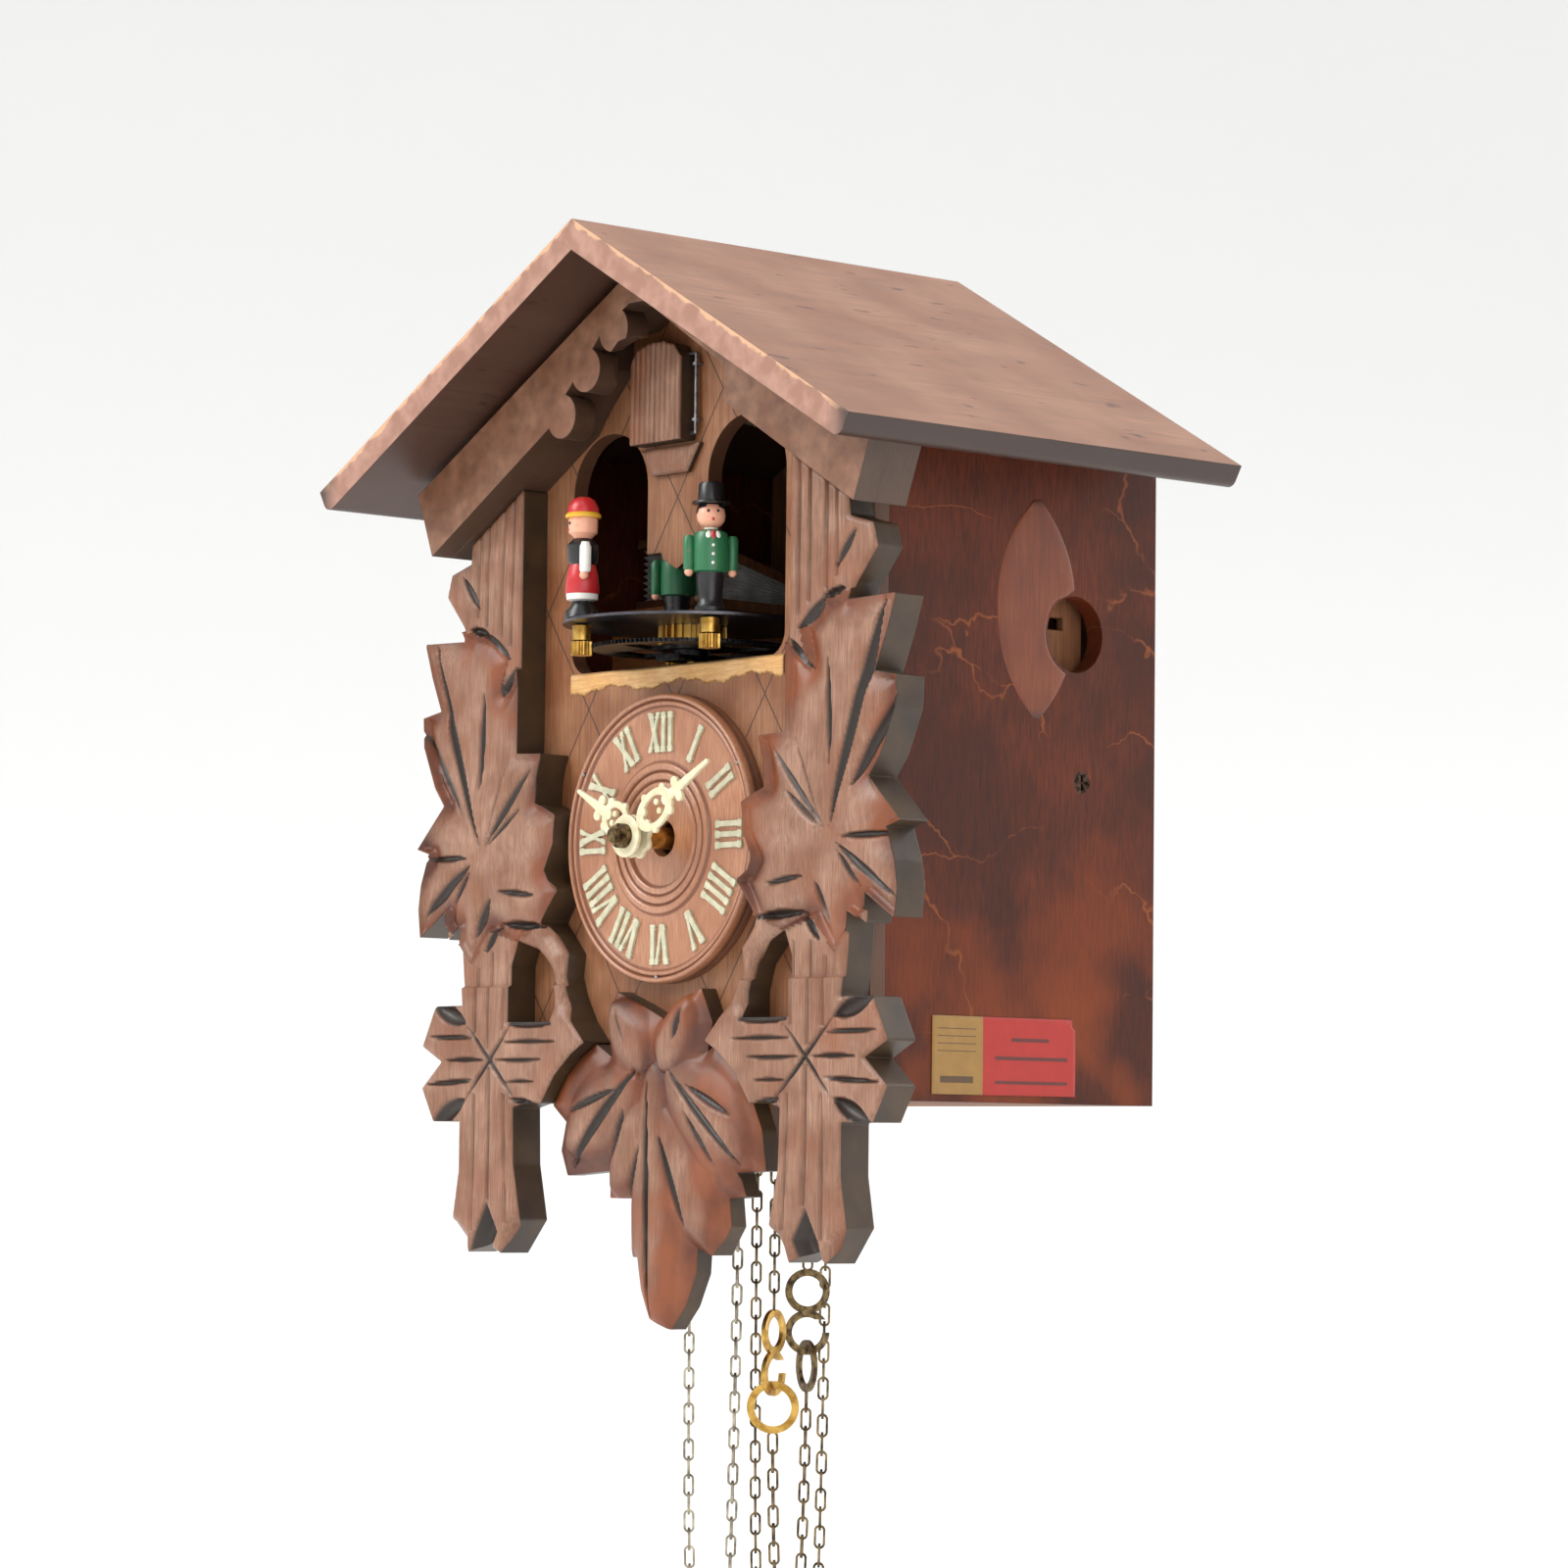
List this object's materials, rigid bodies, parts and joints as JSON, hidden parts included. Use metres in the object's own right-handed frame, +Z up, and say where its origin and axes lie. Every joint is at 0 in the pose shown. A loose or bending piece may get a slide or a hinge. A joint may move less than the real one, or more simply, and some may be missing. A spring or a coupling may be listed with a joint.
{
  "type": "cuckoo clock",
  "caption": "Carved wooden cuckoo clock with a gabled roof, turned dial, bird door, dancing stage and chain drive.",
  "frame": {"origin": "centre of the hanging hole in the steel plate let into the back panel", "axes": "+X to the right seen from the front, +Y back into the wall, +Z up"},
  "size_m": [0.23, 0.144, 0.47],
  "materials": {
    "carved_lime_wood": "brown stain, rubbed lighter on the high faces",
    "roof_spruce": "thin brown stain with streaks",
    "case_veneer": "dark red-brown polish, crackled",
    "front_plywood": "brown stain with scribed diamonds",
    "gable_wood": "brown stain",
    "turned_dial_wood": "clear varnish",
    "numeral_plastic": "pale green cream",
    "hand_plastic": "ivory",
    "brass": "clean brass",
    "bronzed_brass": "antique bronzed",
    "bright_steel": "plain",
    "black_steel": "black",
    "painted_figure": "gloss paint",
    "whistle_wood": "plain, unpolished",
    "bellows_cloth": "grey bellows cloth",
    "door_wood": "combed grooves",
    "bird_paint": "painted"
  },
  "bodies": {
    "case": {"back_panel": "whistle_wood", "bargeboard_left": "gable_wood", "bargeboard_right": "gable_wood", "base_board": "whistle_wood", "bellows_cloth_left": "bellows_cloth", "bellows_cloth_right": "bellows_cloth", "bird_guide": "brass", "carved_leaf": "carved_lime_wood", "carved_post_left": "carved_lime_wood", "carved_post_right": "carved_lime_wood", "case_screws": "bright_steel", "chain_music": "bronzed_brass", "chain_music_hank": "bronzed_brass", "chain_strike": "bronzed_brass", "chain_strike_hank": "bronzed_brass", "chain_strike_short": "bronzed_brass", "chain_time": "bronzed_brass", "chain_time_hank": "bronzed_brass", "chain_time_short": "bronzed_brass", "dial": "turned_dial_wood", "dial_numerals": "numeral_plastic", "front_board": "front_plywood", "gable_backing": "gable_wood", "gong": "black_steel", "hanger_plate": "bright_steel", "hook_strike": "brass", "hook_time": "bronzed_brass", "movement_frame": "brass", "music_movement": "brass", "music_sound_box": "whistle_wood", "ring_gear": "black_steel", "ring_strike": "brass", "ring_time": "bronzed_brass", "roof_board_left": "roof_spruce", "roof_board_right": "roof_spruce", "side_panel_left": "case_veneer", "side_panel_right": "case_veneer", "stage_bracket": "black_steel", "whistle_left": "whistle_wood", "whistle_right": "whistle_wood"},
    "door": {"bird_door": "door_wood", "door_hinge_wire": "bright_steel"},
    "bird": {"cuckoo_bird": "bird_paint", "bird_rod": "brass"},
    "hour_works": {"hour_hand": "hand_plastic"},
    "minute_works": {"minute_hand": "hand_plastic", "center_arbor": "brass"},
    "time_wheel": {"chain_wheel_time": "brass"},
    "strike_wheel": {"chain_wheel_strike": "brass"},
    "music_wheel": {"chain_wheel_music": "brass"},
    "pendulum": {"pendulum_leader": "bright_steel"},
    "hammer": {"gong_hammer": "bright_steel"},
    "bellows_left": {"bellows_top_left": "whistle_wood"},
    "bellows_right": {"bellows_top_right": "whistle_wood"},
    "cylinder": {"music_cylinder": "brass"},
    "stage": {"turntable": "bright_steel"},
    "man_front": {"dancer_man_front": "painted_figure"},
    "woman_back": {"dancer_woman_back": "painted_figure"},
    "man_back": {"dancer_man_back": "painted_figure"},
    "woman_front": {"dancer_woman_front": "painted_figure"}
  },
  "joints": [
    {"name": "time_wheel_turn", "type": "hinge", "parent": "case", "child": "time_wheel", "pos_m": [0, -0.0629, -0.122], "axis": [0, 1, 0], "continuous": true},
    {"name": "minute_turn", "type": "hinge", "parent": "case", "child": "minute_works", "pos_m": [0, -0.1154, -0.095], "axis": [0, 1, 0], "continuous": true},
    {"name": "hour_turn", "type": "hinge", "parent": "case", "child": "hour_works", "pos_m": [0, -0.1154, -0.095], "axis": [0, 1, 0], "continuous": true},
    {"name": "strike_wheel_turn", "type": "hinge", "parent": "case", "child": "strike_wheel", "pos_m": [0.024, -0.077, -0.122], "axis": [0, 1, 0], "continuous": true},
    {"name": "stage_turn", "type": "hinge", "parent": "case", "child": "stage", "pos_m": [0, -0.0984, -0.036], "axis": [0, 0, 1], "continuous": true},
    {"name": "music_wheel_turn", "type": "hinge", "parent": "case", "child": "music_wheel", "pos_m": [-0.024, -0.0674, -0.122], "axis": [0, 1, 0], "continuous": true},
    {"name": "cylinder_turn", "type": "hinge", "parent": "case", "child": "cylinder", "pos_m": [0.037, -0.0214, -0.149], "axis": [1, 0, 0], "continuous": true},
    {"name": "man_front_spin", "type": "hinge", "parent": "stage", "child": "man_front", "pos_m": [0.02649, -0.1145, -0.036], "axis": [0, 0, 1], "continuous": true},
    {"name": "woman_back_spin", "type": "hinge", "parent": "stage", "child": "woman_back", "pos_m": [0.01611, -0.07191, -0.036], "axis": [0, 0, 1], "continuous": true},
    {"name": "man_back_spin", "type": "hinge", "parent": "stage", "child": "man_back", "pos_m": [-0.02649, -0.08229, -0.036], "axis": [0, 0, 1], "continuous": true},
    {"name": "woman_front_spin", "type": "hinge", "parent": "stage", "child": "woman_front", "pos_m": [-0.01611, -0.12489, -0.036], "axis": [0, 0, 1], "continuous": true},
    {"name": "pendulum_swing", "type": "hinge", "parent": "case", "child": "pendulum", "pos_m": [0, -0.0374, -0.057], "axis": [0, 1, 0], "range_deg": [-4, 4]},
    {"name": "hammer_swing", "type": "hinge", "parent": "case", "child": "hammer", "pos_m": [-0.03, -0.0259, -0.037], "axis": [1, 0, 0], "range_deg": [0, 7]},
    {"name": "door_swing", "type": "hinge", "parent": "case", "child": "door", "pos_m": [0.0092, -0.106, 0.025], "axis": [0, 0, 1], "range_deg": [0, 75]},
    {"name": "bird_slide", "type": "slide", "parent": "case", "child": "bird", "axis": [0, -1, 0], "range_m": [0, 0.038]},
    {"name": "bellows_left_lift", "type": "hinge", "parent": "case", "child": "bellows_left", "pos_m": [-0.062, -0.0139, -0.016], "axis": [1, 0, 0], "range_deg": [0, 8], "deforming": ["bellows_cloth_left"]},
    {"name": "bellows_right_lift", "type": "hinge", "parent": "case", "child": "bellows_right", "pos_m": [0.062, -0.0139, -0.016], "axis": [1, 0, 0], "range_deg": [0, 8], "deforming": ["bellows_cloth_right"]}
  ],
  "couplings": [
    {"joint": "minute_turn", "follows": "time_wheel_turn", "ratio": -1.3333},
    {"joint": "hour_turn", "follows": "time_wheel_turn", "ratio": -0.11111},
    {"joint": "music_wheel_turn", "follows": "stage_turn", "ratio": -0.2},
    {"joint": "cylinder_turn", "follows": "stage_turn", "ratio": 1},
    {"joint": "door_swing", "follows": "bird_slide", "rad_per_m": 34.447},
    {"joint": "man_front_spin", "follows": "stage_turn", "ratio": 10},
    {"joint": "woman_back_spin", "follows": "stage_turn", "ratio": 10},
    {"joint": "man_back_spin", "follows": "stage_turn", "ratio": 10},
    {"joint": "woman_front_spin", "follows": "stage_turn", "ratio": 10}
  ]
}
